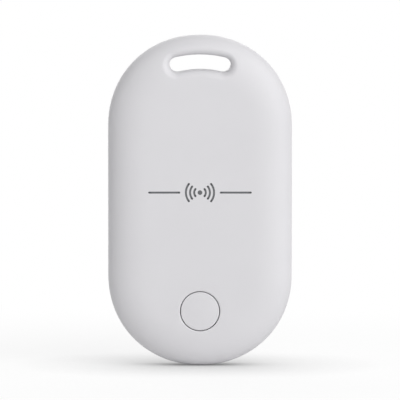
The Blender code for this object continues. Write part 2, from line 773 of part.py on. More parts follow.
def board_parts():
    """Everything soldered to the front of the board, apart from the switch."""
    surfaces = {"radio": chip_resin, "main": bright_steel, "clock": bright_steel}
    surfaces.update(inductor=powder_mix, capacitor=pale_ceramic, resistor=chip_resin)
    for name, across, up, width, length, thick in CHIPS:
        back = BOARD_FRONT - SOLDER_GAP
        centre = (across * MM, back - thick * MM / 2, BUTTON_HEIGHT + up * MM)
        chip = block(name, (width * MM, thick * MM, length * MM), centre)
        surfaces[name.split("_")[0]](chip)
    back = BOARD_FRONT - SOLDER_GAP
    up = BOARD_TOP - ANTENNA_ZONE / 2
    size = (ANTENNA_WIDTH, ANTENNA_THICK, ANTENNA_LENGTH)
    antenna = block("chip_antenna", size, (0, back - ANTENNA_THICK / 2, up))
    pale_ceramic(antenna)


def coin_cell():
    """The coin cell: can, cap, grommet and the two electrodes with their separator."""
    cap_radius = CELL_RADIUS - CELL_SHEET - CELL_RING - SEAL_GAP * 2
    crimp = CELL_BOTTOM + CELL_STEP
    wall = CELL_RADIUS - CELL_SHEET
    can = turned("cell_can", (
        (0, CELL_TOP),
        (CELL_RADIUS, CELL_TOP),
        (CELL_RADIUS, crimp + CELL_SHEET),
        (CELL_RADIUS - CELL_SHEET, crimp),
        (CELL_RADIUS - CELL_CRIMP, crimp),
        (CELL_RADIUS - CELL_CRIMP, crimp + CELL_SHEET),
        (wall, crimp + CELL_SHEET),
        (wall, CELL_TOP - CELL_SHEET),
        (0, CELL_TOP - CELL_SHEET),
    ), CELL_HEIGHT)
    bright_steel(can)
    face = CELL_RADIUS - CELL_CRIMP - SEAL_GAP - CELL_STEP
    rim = CELL_TOP - CELL_SHEET - CELL_RING - SEAL_GAP * 2
    shoulder = crimp + CELL_SHEET + SEAL_GAP
    cap = turned("cell_cap", (
        (0, CELL_BOTTOM + CELL_SHEET),
        (face - CELL_SHEET, CELL_BOTTOM + CELL_SHEET),
        (cap_radius - CELL_SHEET, shoulder + CELL_SHEET),
        (cap_radius - CELL_SHEET, rim),
        (cap_radius, rim),
        (cap_radius, shoulder + CELL_SHEET / 2),
        (face, CELL_BOTTOM),
        (0, CELL_BOTTOM),
    ), CELL_HEIGHT)
    bright_steel(cap)
    inner = cap_radius + SEAL_GAP
    outer = wall - SEAL_GAP
    low = shoulder + SEAL_GAP
    gasket = ring("cell_gasket", inner, outer, rim, low, CELL_HEIGHT)
    seal_rubber(gasket)
    core = cap_radius - CELL_SHEET - SEAL_GAP * 2
    anode_back = CELL_BOTTOM + CELL_SHEET + SEAL_GAP + CELL_STEP * 2
    room = CELL_TOP - CELL_SHEET - anode_back - 3 * ELECTRODE_GAP - SEPARATOR
    electrodes = (
        ("cell_anode", room * 0.3, bright_steel),
        ("cell_separator", SEPARATOR, seal_rubber),
        ("cell_cathode", room * 0.7, powder_mix),
    )
    start = anode_back
    for name, thick, look in electrodes:
        look(disc(name, core, start + thick, start, CELL_HEIGHT, steps=36))
        start += thick + ELECTRODE_GAP


def cell_contacts():
    """The two springs that carry the cell's current to the board."""
    foot = BOARD_BACK + SOLDER_GAP + CONTACT_SHEET / 2
    raised = CELL_BOTTOM - SEAL_GAP - CONTACT_SHEET / 2
    path = (
        (-NEGATIVE_RUN, raised),
        (-NEGATIVE_RUN / 2, raised),
        (-NEGATIVE_RUN / 3, foot),
        (NEGATIVE_RUN / 3, foot),
        (NEGATIVE_RUN / 2, raised),
        (NEGATIVE_RUN, raised),
    )
    place = (0, 0, CELL_HEIGHT)
    negative = strip("negative_contact", path, NEGATIVE_WIDTH, CONTACT_SHEET, place)
    spring_bronze(negative)
    tab = CELL_RADIUS + SEAL_GAP + CONTACT_SHEET / 2
    path = ((tab + POSITIVE_FOOT, foot), (tab, foot), (tab, TRAY_TOP))
    positive = strip("positive_contact", path, POSITIVE_WIDTH, CONTACT_SHEET, place)
    spring_bronze(positive)


def sounder():
    """The piezo disc bonded inside the face, and the two springs that feed it."""
    back = FRONT_INSIDE + SEAL_GAP + ADHESIVE_THICK
    inner = SOUNDER_RADIUS - ADHESIVE_WIDTH
    front = FRONT_INSIDE + SEAL_GAP
    glue = ring("sounder_adhesive", inner, SOUNDER_RADIUS, back, front, SOUNDER_HEIGHT)
    seal_rubber(glue)
    brass = disc("sounder_plate", SOUNDER_RADIUS, SOUNDER_BACK, SOUNDER_FRONT, SOUNDER_HEIGHT)
    rolled_brass(brass)
    face = SOUNDER_BACK + SEAL_GAP
    ceramic = disc("sounder_ceramic", CERAMIC_RADIUS, CERAMIC_BACK, face, SOUNDER_HEIGHT)
    pale_ceramic(ceramic)
    foot = BOARD_FRONT - SOLDER_GAP - SPRING_SHEET / 2
    ends = ((0, CERAMIC_BACK), (SOUNDER_RADIUS - ADHESIVE_WIDTH / 2, SOUNDER_BACK))
    for number, (across, surface) in enumerate(ends):
        raised = surface + SEAL_GAP + SPRING_SHEET / 2
        path = (
            (-SPRING_RUN / 2, foot),
            (-SPRING_RUN / 8, foot),
            (SPRING_RUN / 8, raised),
            (SPRING_RUN / 2, raised),
        )
        name = "sounder_spring_{}".format(number + 1)
        place = (across, 0, SOUNDER_HEIGHT)
        spring = strip(name, path, SPRING_WIDTH, SPRING_SHEET, place)
        spring_bronze(spring)


def main():
    clear_scene()
    slot = slot_cutter()
    front_shell(slot)
    rear_cover(slot)
    shell_gasket()
    battery_door()
    battery_door_seal()
    button_cap()
    button_pad()
    switch()
    circuit_board()
    cell_tray()
    tray_screws()
    board_parts()
    coin_cell()
    cell_contacts()
    sounder()


main()
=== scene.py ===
"""The looks of a pill-shaped bluetooth tracker tag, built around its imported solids.

The shells, the button, the battery door with its O-ring and the coin cell's can are modelled
afresh at full smoothness. Every other solid keeps its shape and gets its material's finish.
"""

from math import asin, atan2, cos, hypot, pi, radians, sin

import bmesh
import bpy
from mathutils import Matrix, Vector


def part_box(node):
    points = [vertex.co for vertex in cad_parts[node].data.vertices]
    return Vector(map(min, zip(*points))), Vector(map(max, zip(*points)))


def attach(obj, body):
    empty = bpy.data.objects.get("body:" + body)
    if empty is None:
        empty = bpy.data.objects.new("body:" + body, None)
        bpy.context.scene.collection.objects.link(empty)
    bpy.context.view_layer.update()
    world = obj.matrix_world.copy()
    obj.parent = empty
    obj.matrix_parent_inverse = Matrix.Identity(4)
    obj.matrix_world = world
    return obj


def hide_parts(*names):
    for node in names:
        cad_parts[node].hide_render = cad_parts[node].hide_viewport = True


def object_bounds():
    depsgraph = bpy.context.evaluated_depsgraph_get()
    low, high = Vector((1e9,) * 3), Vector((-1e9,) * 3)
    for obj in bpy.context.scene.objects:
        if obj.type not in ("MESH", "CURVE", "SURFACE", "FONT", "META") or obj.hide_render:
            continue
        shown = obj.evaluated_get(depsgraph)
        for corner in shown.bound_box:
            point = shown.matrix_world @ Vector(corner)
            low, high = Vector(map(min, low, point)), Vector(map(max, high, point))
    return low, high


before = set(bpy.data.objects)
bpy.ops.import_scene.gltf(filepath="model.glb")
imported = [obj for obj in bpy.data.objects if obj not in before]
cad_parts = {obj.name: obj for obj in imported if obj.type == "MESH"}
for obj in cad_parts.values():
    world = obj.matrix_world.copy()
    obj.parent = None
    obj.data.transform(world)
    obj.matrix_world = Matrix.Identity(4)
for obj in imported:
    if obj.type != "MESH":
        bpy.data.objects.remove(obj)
CAD_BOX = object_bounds()

MM = 0.001

# The body's outline and soft edges. Its width, height and depth come from the frame.
LOW, TOP = Vector(CAD_BOX[0]), Vector(CAD_BOX[1])
HALF_WIDTH = (TOP.x - LOW.x) / 2
HEIGHT = TOP.z - LOW.z
HALF_DEPTH = (TOP.y - LOW.y) / 2
END_LENGTH = 15.9 * MM
END_POWER = 2.08
FRONT_ROUND = 7.0 * MM
FRONT_POWER = 2.5
BACK_ROUND = 4.0 * MM
BACK_POWER = 2.3
SKIN = 0.65 * MM

# The key slot
SLOT_HEIGHT = HEIGHT - 4.7 * MM
SLOT_RADIUS = 1.34 * MM
SLOT_BEND = 17.3 * MM
SLOT_HALF_SPAN = 4.0 * MM
SLOT_EDGE = 1.2 * MM
SLOT_POWER = 1.65
FIELD_INSET = 1.7 * MM


def main():
    """Builds the camera, the stage, the lamps and then the tag, piece by piece."""
    place_camera()
    make_stage()
    make_lights()
    white = moulded_abs()
    make_front_shell(white)
    make_rear_cover(white)
    make_door_seat(white)
    make_button(white)
    make_battery_door(white)
    make_door_seal()
    make_radio_mark()
    make_back_marks()
    make_coin_cell()
    dress_cad_nodes()


# ---------------------------------------------------------------- colours and nodes


def srgb(code):
    """Turns an sRGB hex colour into a linear one."""
    parts = [int(code[i : i + 2], 16) / 255 for i in (0, 2, 4)]
    linear = [c / 12.92 if c <= 0.04045 else ((c + 0.055) / 1.055) ** 2.4 for c in parts]
    return (*linear, 1.0)


def add(tree, kind, values=None, links=None, **settings):
    """Adds one shader node with its settings, its sockets' values and what feeds them."""
    made = tree.nodes.new("ShaderNode" + kind)
    for name, value in settings.items():
        setattr(made, name, value)
    for name, value in (values or {}).items():
        made.inputs[name].default_value = value
    for name, source in (links or {}).items():
        tree.links.new(source, made.inputs[name])
    return made


def new_finish(name, roughness, metallic=0.0):
    """A material with a Principled shader, its node tree and its object coordinates."""
    material = bpy.data.materials.new(name)
    material.use_nodes = True
    tree = material.node_tree
    shader = tree.nodes["Principled BSDF"]
    shader.inputs["Roughness"].default_value = roughness
    shader.inputs["Metallic"].default_value = metallic
    points = add(tree, "TexCoord").outputs["Object"]
    return material, tree, shader, points


# ---------------------------------------------------------------- finishes


def moulded_abs():
    """White ABS from a spark-eroded mould: an even matt white with a very fine grain."""
    material, tree, shader, points = new_finish("ABS moulded, fine spark texture", 0.5)
    place = add(tree, "Mapping", links={"Vector": points})
    # A cloudiness of 9 mm, as regrind and flow leave in white plastic, too faint to name.
    cloud = add(
        tree, "TexNoise", {"Scale": 1 / (9 * MM), "Detail": 2.0}, {"Vector": place.outputs[0]}
    )
    tint = add(
        tree,
        "Mix",
        {"A": srgb("DAD9DC"), "B": srgb("DEDDE0")},
        {"Factor": cloud.outputs["Fac"]},
        data_type="RGBA",
    )
    tree.links.new(tint.outputs["Result"], shader.inputs["Base Color"])
    # The mould's texture is about 0.06 mm; at 0.2 mm it is as coarse as it needs to show.
    grain = add(
        tree,
        "TexNoise",
        {"Scale": 1 / (0.2 * MM), "Detail": 3.0, "Roughness": 0.6},
        {"Vector": place.outputs[0]},
    )
    gloss = add(
        tree,
        "MapRange",
        {"From Min": 0.3, "From Max": 0.7, "To Min": 0.46, "To Max": 0.56},
        {"Value": grain.outputs["Fac"]},
    )
    tree.links.new(gloss.outputs["Result"], shader.inputs["Roughness"])
    relief = add(
        tree,
        "Bump",
        {"Strength": 0.12, "Distance": 0.02 * MM},
        {"Height": grain.outputs["Fac"]},
    )
    tree.links.new(relief.outputs["Normal"], shader.inputs["Normal"])
    return material


def pad_ink():
    """Grey pad-printing ink: a thin even film, a little glossier than the shell."""
    material, tree, shader, points = new_finish("Pad-printing ink, cured", 0.42)
    speck = add(tree, "TexNoise", {"Scale": 1 / (0.3 * MM), "Detail": 2.0}, {"Vector": points})
    tint = add(
        tree,
        "Mix",
        {"A": srgb("5C5D60"), "B": srgb("686A6D")},
        {"Factor": speck.outputs["Fac"]},
        data_type="RGBA",
    )
    tree.links.new(tint.outputs["Result"], shader.inputs["Base Color"])
    return material


def grainy(name, roughness, metallic, dark, pale, size, bump=0.0, spread=0.1, stretch=None):
    """A finish whose colour and gloss vary in a fine grain of a real size, in metres."""
    material, tree, shader, points = new_finish(name, roughness, metallic)
    scale = stretch or (1.0, 1.0, 1.0)
    place = add(tree, "Mapping", {"Scale": scale}, {"Vector": points})
    grain = add(
        tree, "TexNoise", {"Scale": 1 / size, "Detail": 3.0}, {"Vector": place.outputs[0]}
    )
    tint = add(
        tree,
        "Mix",
        {"A": srgb(dark), "B": srgb(pale)},
        {"Factor": grain.outputs["Fac"]},
        data_type="RGBA",
    )
    tree.links.new(tint.outputs["Result"], shader.inputs["Base Color"])
    low, high = max(roughness - spread, 0.05), min(roughness + spread, 1.0)
    gloss = add(
        tree,
        "MapRange",
        {"From Min": 0.3, "From Max": 0.7, "To Min": low, "To Max": high},
        {"Value": grain.outputs["Fac"]},
    )
    tree.links.new(gloss.outputs["Result"], shader.inputs["Roughness"])
    if bump:
        relief = add(
            tree,
            "Bump",
            {"Strength": 0.4, "Distance": bump},
            {"Height": grain.outputs["Fac"]},
        )
        tree.links.new(relief.outputs["Normal"], shader.inputs["Normal"])
    return material, tree, shader, place, grain


def silicone_rubber():
    """Moulded silicone: a dull satin grey with a dusty bloom."""
    return grainy(
        "Silicone rubber, compression moulded", 0.62, 0.0, "66686B", "74767A", 0.6 * MM,
        0.01 * MM
    )[0]


def filled_nylon():
    """Black nylon with glass: dark, with the pale flecks of fibres near its skin."""
    material, tree, shader, place, _ = grainy(
        "PA66-GF30 nylon, injection moulded", 0.52, 0.0, "1B1C1E", "26272A", 0.5 * MM,
        0.012 * MM
    )
    fleck = add(
        tree,
        "TexNoise",
        {"Scale": 1 / (0.12 * MM), "Detail": 0.0},
        {"Vector": add(
            tree, "Mapping", {"Scale": (0.25, 1.0, 1.0)}, {"Vector": place.outputs[0]}
        ).outputs[0]},
    )
    rare = add(
        tree,
        "MapRange",
        {"From Min": 0.68, "From Max": 0.76, "To Min": 0.0, "To Max": 0.35},
        {"Value": fleck.outputs["Fac"]},
    )
    body = shader.inputs["Base Color"].links[0].from_socket
    mixed = add(
        tree,
        "Mix",
        {"B": srgb("7B7D80")},
        {"Factor": rare.outputs["Result"], "A": body},
        data_type="RGBA",
    )
    tree.links.new(mixed.outputs["Result"], shader.inputs["Base Color"])
    return material


def bright_steel():
    """Stamped steel with nickel: bright, with the faint lines of the rolled sheet."""
    return grainy(
        "Nickel-plated steel, stamped from rolled sheet", 0.24, 1.0, "B9B7B2", "C9C7C3",
        0.25 * MM, 0.002 * MM, 0.06, (1.0, 1.0, 0.06)
    )[0]


def tinned_leg():
    """Tinned copper legs: soft white metal, dulled by the solder's flow."""
    return grainy(
        "Copper leg, hot tinned", 0.36, 1.0, "B4B4B2", "D0D0CE", 0.18 * MM, 0.006 * MM
    )[0]


def zinced_screw():
    """Small zinc-plated screws: greyish bright metal with a cloudy passivation."""
    return grainy(
        "Carbon steel screw, zinc plated", 0.34, 1.0, "A3A6A8", "BCBFC0", 0.3 * MM,
        0.003 * MM
    )[0]


def cell_steel():
    """The cell's stainless steel: fine circular lines that a turned brush leaves."""
    material, tree, shader, points = new_finish("Stainless steel AISI 430, deep drawn", 0.27, 1.0)
    # A turned brush leaves rings far finer than these, which are drawn 0.7 mm apart to show.
    centre = (0.0, 0.0, -DOOR_HEIGHT)
    waves_per_unit = 20 / (2 * pi)
    ring_scale = 1 / (0.691 * MM * waves_per_unit)
    place = add(tree, "Mapping", {"Location": centre}, {"Vector": points})
    rings = add(
        tree,
        "TexWave",
        {"Scale": ring_scale, "Distortion": 1.5, "Detail": 3.0, "Detail Scale": 2.0},
        {"Vector": place.outputs[0]},
        wave_type="RINGS",
        rings_direction="Y",
    )
    gloss = add(
        tree, "MapRange", {"To Min": 0.2, "To Max": 0.34}, {"Value": rings.outputs["Fac"]}
    )
    tree.links.new(gloss.outputs["Result"], shader.inputs["Roughness"])
    stain = add(
        tree, "TexNoise", {"Scale": 1 / (4 * MM), "Detail": 3.0}, {"Vector": place.outputs[0]}
    )
    tint = add(
        tree,
        "Mix",
        {"A": srgb("B8B9BA"), "B": srgb("C8C8C7")},
        {"Factor": stain.outputs["Fac"]},
        data_type="RGBA",
    )
    tree.links.new(tint.outputs["Result"], shader.inputs["Base Color"])
    relief = add(
        tree,
        "Bump",
        {"Strength": 0.15, "Distance": 0.002 * MM},
        {"Height": rings.outputs["Fac"]},
    )
    tree.links.new(relief.outputs["Normal"], shader.inputs["Normal"])
    return material


def etched_steel():
    """The etched plus sign: the same steel, eaten dull and darker."""
    return grainy(
        "Stainless steel, acid etched", 0.55, 1.0, "6C6D6E", "7E7F80", 0.15 * MM, 0.004 * MM
    )[0]


def etched_plastic():
    """Laser marks in white plastic: a pale warm grey, dull and slightly foamed."""
    return grainy(
        "ABS foamed by a marking laser", 0.7, 0.0, "A2A1A3", "B0AFB1", 0.12 * MM, 0.008 * MM
    )[0]


def solder_mask():
    """The board: green lacquer over copper tracks, and bare gilded pads."""
    material, tree, shader, points = new_finish("FR-4 laminate with green solder mask", 0.3)
    place = add(tree, "Mapping", links={"Vector": points})
    # Tracks 0.25 mm wide on a 1.1 mm pitch raise the lacquer and make it a lighter green.
    tracks = add(
        tree,
        "TexBrick",
        {
            "Scale": 1.0,
            "Brick Width": 3.7 * MM,
            "Row Height": 1.1 * MM,
            "Mortar Size": 0.13 * MM,
            "Mortar Smooth": 0.2,
            "Color1": srgb("0E4A26"),
            "Color2": srgb("104F2A"),
            "Mortar": srgb("2C7A44"),
        },
        {"Vector": add(
            tree, "Mapping", {"Rotation": (pi / 2, 0, 0)}, {"Vector": place.outputs[0]}
        ).outputs[0]},
    )
    pads = add(
        tree,
        "TexVoronoi",
        {"Scale": 1 / (2.4 * MM), "Randomness": 0.85},
        {"Vector": place.outputs[0]},
    )
    bare = add(
        tree,
        "MapRange",
        {"From Min": 0.13, "From Max": 0.11, "To Min": 0.0, "To Max": 1.0},
        {"Value": pads.outputs["Distance"]},
    )
    gilt = add(
        tree,
        "Mix",
        {"B": srgb("D9B35A")},
        {"Factor": bare.outputs["Result"], "A": tracks.outputs["Color"]},
        data_type="RGBA",
    )
    tree.links.new(gilt.outputs["Result"], shader.inputs["Base Color"])
    tree.links.new(bare.outputs["Result"], shader.inputs["Metallic"])
    relief = add(
        tree,
        "Bump",
        {"Strength": 0.5, "Distance": 0.03 * MM},
        {"Height": tracks.outputs["Fac"]},
    )
    tree.links.new(relief.outputs["Normal"], shader.inputs["Normal"])
    return material


def moulding_resin():
    """The radio chip's black epoxy: matt, with the mould's fine sparkle."""
    return grainy(
        "Epoxy moulding resin, black", 0.5, 0.0, "17181A", "222326", 0.08 * MM, 0.006 * MM
    )[0]


def ferrite():
    """Sintered ferrite: nearly black with a dull metal grey."""
    return grainy(
        "Nickel-zinc ferrite, sintered", 0.45, 0.0, "2A2B2E", "3B3C40", 0.15 * MM, 0.01 * MM
    )[0]


def chip_ceramic():
    """Capacitors: the tan barium titanate of a fired stack, matt and even."""
    return grainy(
        "Barium titanate ceramic, fired", 0.5, 0.0, "8C6B45", "A07E55", 0.2 * MM, 0.004 * MM
    )[0]


def resistor_film():
    """Resistors: a black glass overglaze on white alumina."""
    return grainy(
        "Overglaze on alumina, fired", 0.25, 0.0, "15161A", "24252A", 0.25 * MM, 0.003 * MM
    )[0]


def antenna_ceramic():
    """The chip antenna: glazed off-white ceramic with a bluish cast."""
    return grainy(
        "Low-loss antenna ceramic, glazed", 0.3, 0.0, "CFD4D8", "DDE0E2", 0.4 * MM, 0.003 * MM
    )[0]


def lithium_foil():
    """The cell's lithium: soft silvery metal, dulled in patches."""
    return grainy(
        "Lithium foil, rolled", 0.45, 1.0, "8F9193", "B2B4B5", 0.9 * MM, 0.01 * MM, 0.15
    )[0]


def separator_fleece():
    """The separator: a white fleece of fine melt-blown fibres."""
    return grainy(
        "Polypropylene fleece, melt blown", 0.85, 0.0, "D6D6D3", "E6E6E4", 0.1 * MM, 0.02 * MM,
        0.1, (1.0, 1.0, 0.2)
    )[0]


def pressed_powder():
    """The cathode: black manganese dioxide pressed to a dull pellet."""
    return grainy(
        "Manganese dioxide pellet, pressed", 0.85, 0.0, "1C1B1B", "302F2F", 0.12 * MM, 0.02 * MM
    )[0]


def spring_bronze():
    """The contacts: gilded spring bronze with the rolling lines of its strip."""
    return grainy(
        "Phosphor bronze strip, gold flashed", 0.28, 1.0, "C79A4B", "DDB566", 0.2 * MM,
        0.002 * MM, 0.07, (0.08, 1.0, 1.0)
    )[0]


def rolled_brass():
    """The sounder's plate: yellow brass with faint rolling lines and a first tarnish."""
    return grainy(
        "Brass CuZn37, rolled", 0.32, 1.0, "B8944A", "CBA95F", 0.3 * MM, 0.002 * MM, 0.08,
        (0.1, 1.0, 1.0)
    )[0]


def silvered_ceramic():
    """The sounder's ceramic: screened silver paste, matt and cloudy."""
    return grainy(
        "PZT ceramic with fired silver paste", 0.46, 0.7, "B9B8B4", "CFCEC9", 0.35 * MM,
        0.006 * MM
    )[0]


def foam_adhesive():
    """The bonding ring: milky acrylic foam tape with fine open cells."""
    return grainy(
        "Acrylic foam tape, die cut", 0.75, 0.0, "C9CAC8", "DADBD9", 0.09 * MM, 0.02 * MM
    )[0]


# ---------------------------------------------------------------- shape helpers


def finish_object(name, bm, body, material, replaced=()):
    """Makes the bmesh an object that rides a body and stands for the CAD nodes named."""
    mesh = bpy.data.meshes.new(name)
    bm.to_mesh(mesh)
    bm.free()
    mesh.shade_smooth()
    obj = bpy.data.objects.new(name, mesh)
    bpy.context.scene.collection.objects.link(obj)
    mesh.materials.append(material)
    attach(obj, body)
    if replaced:
        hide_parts(*replaced)
    return obj


def outline_point(index, inset, ends=64, runs=26):
    """One of the points of the body's outline, drawn in by inset, as (across, up)."""
    wide = HALF_WIDTH - inset
    tall = END_LENGTH - inset
    half = ends + runs
    side = 1 if index < half else -1
    step = index % half
    if step < ends:
        turn = pi * step / ends
        across = abs(cos(turn)) ** (2 / END_POWER) * (1 if turn < pi / 2 else -1)
        along = max(sin(turn), 0.0) ** (2 / END_POWER)
        middle = HEIGHT - END_LENGTH if side > 0 else END_LENGTH
        return side * wide * across, middle + side * tall * along
    share = (step - ends) / runs
    straight = HEIGHT - 2 * END_LENGTH
    return -side * wide, HEIGHT / 2 + side * straight * (0.5 - share)


OUTLINE_COUNT = 2 * (64 + 26)


def inset_at(across, up):
    """How far inside the body's outline a point of the face lies."""
    beyond = max(END_LENGTH - up, up - (HEIGHT - END_LENGTH))
    if beyond <= 0:
        return HALF_WIDTH - abs(across)
    near, far = 0.0, END_LENGTH - 1e-6
    for _ in range(40):
        middle = (near + far) / 2
        wide = max(HALF_WIDTH - middle, 1e-9)
        reach = (abs(across) / wide) ** END_POWER + (beyond / (END_LENGTH - middle)) ** END_POWER
        if reach > 1:
            far = middle
        else:
            near = middle
    return near


def face_depth(across, up, reach, power):
    """How far the soft-edged face stands from the middle plane at a point."""
    share = max(1 - inset_at(across, up) / reach, 0.0)
    return HALF_DEPTH * (1 - share**power) ** (1 / power)


def edge_steps(reach, power, start_depth, end_inset, count):
    """Insets and depths along a soft edge, from a depth near the middle to an inset."""
    first = asin((start_depth / HALF_DEPTH) ** (power / 2)) if start_depth > 0 else 0.0
    share = 1 - end_inset / reach
    last = pi / 2 - asin(share ** (power / 2))
    steps = []
    for step in range(count + 1):
        angle = first + (last - first) * step / count
        inset = reach * (1 - cos(angle) ** (2 / power))
        steps.append((inset, HALF_DEPTH * sin(angle) ** (2 / power)))
    return steps


def slot_point(index, radius, count):
    """One of the points around the bent key slot at a given half-width, as (across, up)."""
    half_angle = asin(SLOT_HALF_SPAN / SLOT_BEND)
    arc = SLOT_BEND * 2 * half_angle
    cap = pi * radius
    along = (2 * arc + 2 * cap) * index / count
    side = 1
    if along >= arc + cap:
        along -= arc + cap
        side = -1
    centre = Vector((0, SLOT_HEIGHT - SLOT_BEND))
    if along < arc:
        angle = side * half_angle * (1 - 2 * along / arc)
        out = SLOT_BEND + side * radius
        return out * sin(angle), centre.y + out * cos(angle)
    end = centre + SLOT_BEND * Vector((-side * sin(half_angle), cos(half_angle)))
    turn = -side * half_angle - pi * (along - arc) / cap
    if side < 0:
        turn += pi
    return end.x + radius * sin(turn), end.y + radius * cos(turn)


def circle_point(index, radius, height, count):
    """One of the points around a circle on the tag's middle line, as (across, up)."""
    turn = 2 * pi * index / count
    return radius * sin(turn), height + radius * cos(turn)


def start_loop(bm, count, place):
    """Starts a closed loop of edges from a circle, its points placed by their number."""
    number = bm.verts.layers.int["number"]
    made = bmesh.ops.create_circle(bm, cap_ends=False, segments=count, radius=1.0)["verts"]
    for index, vert in enumerate(made):
        vert[number] = index
        vert.co = place(index)
    edges = {edge for vert in made for edge in vert.link_edges}
    return list(edges)


def pull_loop(bm, edges, place):
    """Extrudes a loop of edges and puts each new point where its number says."""
    number = bm.verts.layers.int["number"]
    pulled = bmesh.ops.extrude_edge_only(bm, edges=edges)["geom"]
    for item in pulled:
        if isinstance(item, bmesh.types.BMVert):
            item.co = place(item[number])
    return [item for item in pulled if isinstance(item, bmesh.types.BMEdge) and item.is_boundary]


def slot_distance(across, up):
    """How far a point of the face lies from the middle line of the key slot."""
    half_angle = asin(SLOT_HALF_SPAN / SLOT_BEND)
    middle = SLOT_HEIGHT - SLOT_BEND
    angle = max(min(atan2(across, up - middle), half_angle), -half_angle)
    return hypot(across - SLOT_BEND * sin(angle), up - middle - SLOT_BEND * cos(angle))


def fill_face(bm, outline, slot, hole, around, side, reach, power, cell=0.55 * MM):
    """Fills the face between its loops with even cells that follow its soft edge."""
    radius, height = around
    columns, rows = int(2 * HALF_WIDTH / cell), int(HEIGHT / cell)
    middle = Vector((0, 0, HEIGHT / 2))
    place = Matrix.Translation(middle) @ Matrix.Rotation(pi / 2, 4, "X")
    place = place @ Matrix.Diagonal((HALF_WIDTH, HEIGHT / 2, 1, 1))
    verts = bmesh.ops.create_grid(
        bm, x_segments=columns, y_segments=rows, size=1.0, matrix=place
    )["verts"]
    margin = 0.55 * cell

    def outside(vert):
        x, z = vert.co.x, vert.co.z
        return (
            inset_at(x, z) < FIELD_INSET + margin
            or slot_distance(x, z) < SLOT_RADIUS + SLOT_EDGE + margin
            or hypot(x, z - height) < radius + margin
        )

    dropped = [vert for vert in verts if outside(vert)]
    kept = list(set(verts) - set(dropped))
    bmesh.ops.delete(bm, geom=dropped, context="VERTS")
    loose = [vert for vert in kept if not vert.link_faces]
    kept = [vert for vert in kept if vert.link_faces]
    bmesh.ops.delete(bm, geom=loose, context="VERTS")
    rim = [edge for edge in {e for vert in kept for e in vert.link_edges} if edge.is_boundary]
    bare = [edge for edge in {e for vert in kept for e in vert.link_edges} if edge.is_wire]
    bmesh.ops.delete(bm, geom=bare, context="EDGES")
    near = [edge for edge in rim if is_around(edge, radius + 3 * cell, height)]
    far = [edge for edge in rim if edge not in set(near)]
    for vert in {vert for edge in outline + slot + hole for vert in edge.verts}:
        vert.co.y = 0.0
    faces = {face for vert in kept for face in vert.link_faces}
    for edges in (outline + slot + far, hole + near):
        filled = bmesh.ops.triangle_fill(
            bm, use_beauty=True, use_dissolve=False, edges=edges, normal=(0, side, 0)
        )["geom"]
        faces |= {item for item in filled if isinstance(item, bmesh.types.BMFace)}
    for vert in {vert for face in faces for vert in face.verts}:
        vert.co.y = side * face_depth(vert.co.x, vert.co.z, reach, power)


def is_around(edge, radius, height):
    """Whether an edge lies within a radius of a round hole's middle."""
    middle = (edge.verts[0].co + edge.verts[1].co) / 2
    return hypot(middle.x, middle.z - height) < radius


def slot_mouth(bm, edges, side, reach, power, count, end, steps=8):
    """Rolls the face's edge into the key slot and runs the slot's wall to a depth."""
    for step in range(1, steps + 1):
        turn = pi / 2 * step / steps
        radius = SLOT_RADIUS + SLOT_EDGE * (1 - sin(turn) ** (2 / SLOT_POWER))
        sink = SLOT_EDGE * (1 - cos(turn) ** (2 / SLOT_POWER))

        def place(index):
            across, up = slot_point(index, radius, count)
            return across, side * (face_depth(across, up, reach, power) - sink), up

        edges = pull_loop(bm, edges, place)

    def wall(index):
        across, up = slot_point(index, SLOT_RADIUS, count)
        return across, end, up

    pull_loop(bm, edges, wall)


def round_mouth(bm, edges, side, radius, height, edge, count, end, steps=4):
    """Rolls the face's edge into a round hole and runs the hole's wall to a depth."""
    for step in range(1, steps + 1):
        turn = pi / 2 * step / steps
        across = radius + edge * (1 - sin(turn))
        sink = edge * (1 - cos(turn))

        def place(index):
            x, z = circle_point(index, across, height, count)
            return x, side * (HALF_DEPTH - sink), z

        edges = pull_loop(bm, edges, place)

    def wall(index):
        x, z = circle_point(index, radius, height, count)
        return x, end, z

    pull_loop(bm, edges, wall)


def make_skin(side, reach, power, seam, hole, slot_count=112, hole_count=144):
    """The outer skin of one shell: soft edge, face, rolled key slot and one round hole."""
    bm = bmesh.new()
    bm.verts.layers.int.new("number")
    chamfer = 0.08 * MM
    lip = edge_steps(BACK_ROUND, BACK_POWER, abs(seam), 0.0, 1)[0][0]
    steps = [(lip + chamfer, seam), (lip, seam + side * chamfer)]
    if side < 0:
        # The front shell runs back past the middle and draws in a little to the parting line.
        steps += [(0.0, 0.4 * MM), (0.0, 0.0)]
        steps += [(i, -d) for i, d in edge_steps(reach, power, 0.0, FIELD_INSET, 14)[1:]]
    else:
        steps += edge_steps(reach, power, seam + 2 * chamfer, FIELD_INSET, 14)

    edges = start_loop(bm, OUTLINE_COUNT, ring_at(*steps[0]))
    for inset, depth in steps[1:]:
        edges = pull_loop(bm, edges, ring_at(inset, depth))
    mouth = SLOT_RADIUS + SLOT_EDGE

    def around_slot(index):
        across, up = slot_point(index, mouth, slot_count)
        return across, side * face_depth(across, up, reach, power), up

    radius, height, edge, floor = hole

    def around_hole(index):
        across, up = circle_point(index, radius + edge, height, hole_count)
        return across, side * HALF_DEPTH, up

    slot_edges = start_loop(bm, slot_count, around_slot)
    hole_edges = start_loop(bm, hole_count, around_hole)
    around = (radius + edge, height)
    fill_face(bm, edges, slot_edges, hole_edges, around, side, reach, power)
    slot_mouth(bm, slot_edges, side, reach, power, slot_count, seam)
    round_mouth(bm, hole_edges, side, radius, height, edge, hole_count, floor)
    bmesh.ops.recalc_face_normals(bm, faces=bm.faces)
    outward = sum(face.normal.y * face.calc_area() for face in bm.faces)
    if outward * side < 0:
        bmesh.ops.reverse_faces(bm, faces=bm.faces)
    return bm


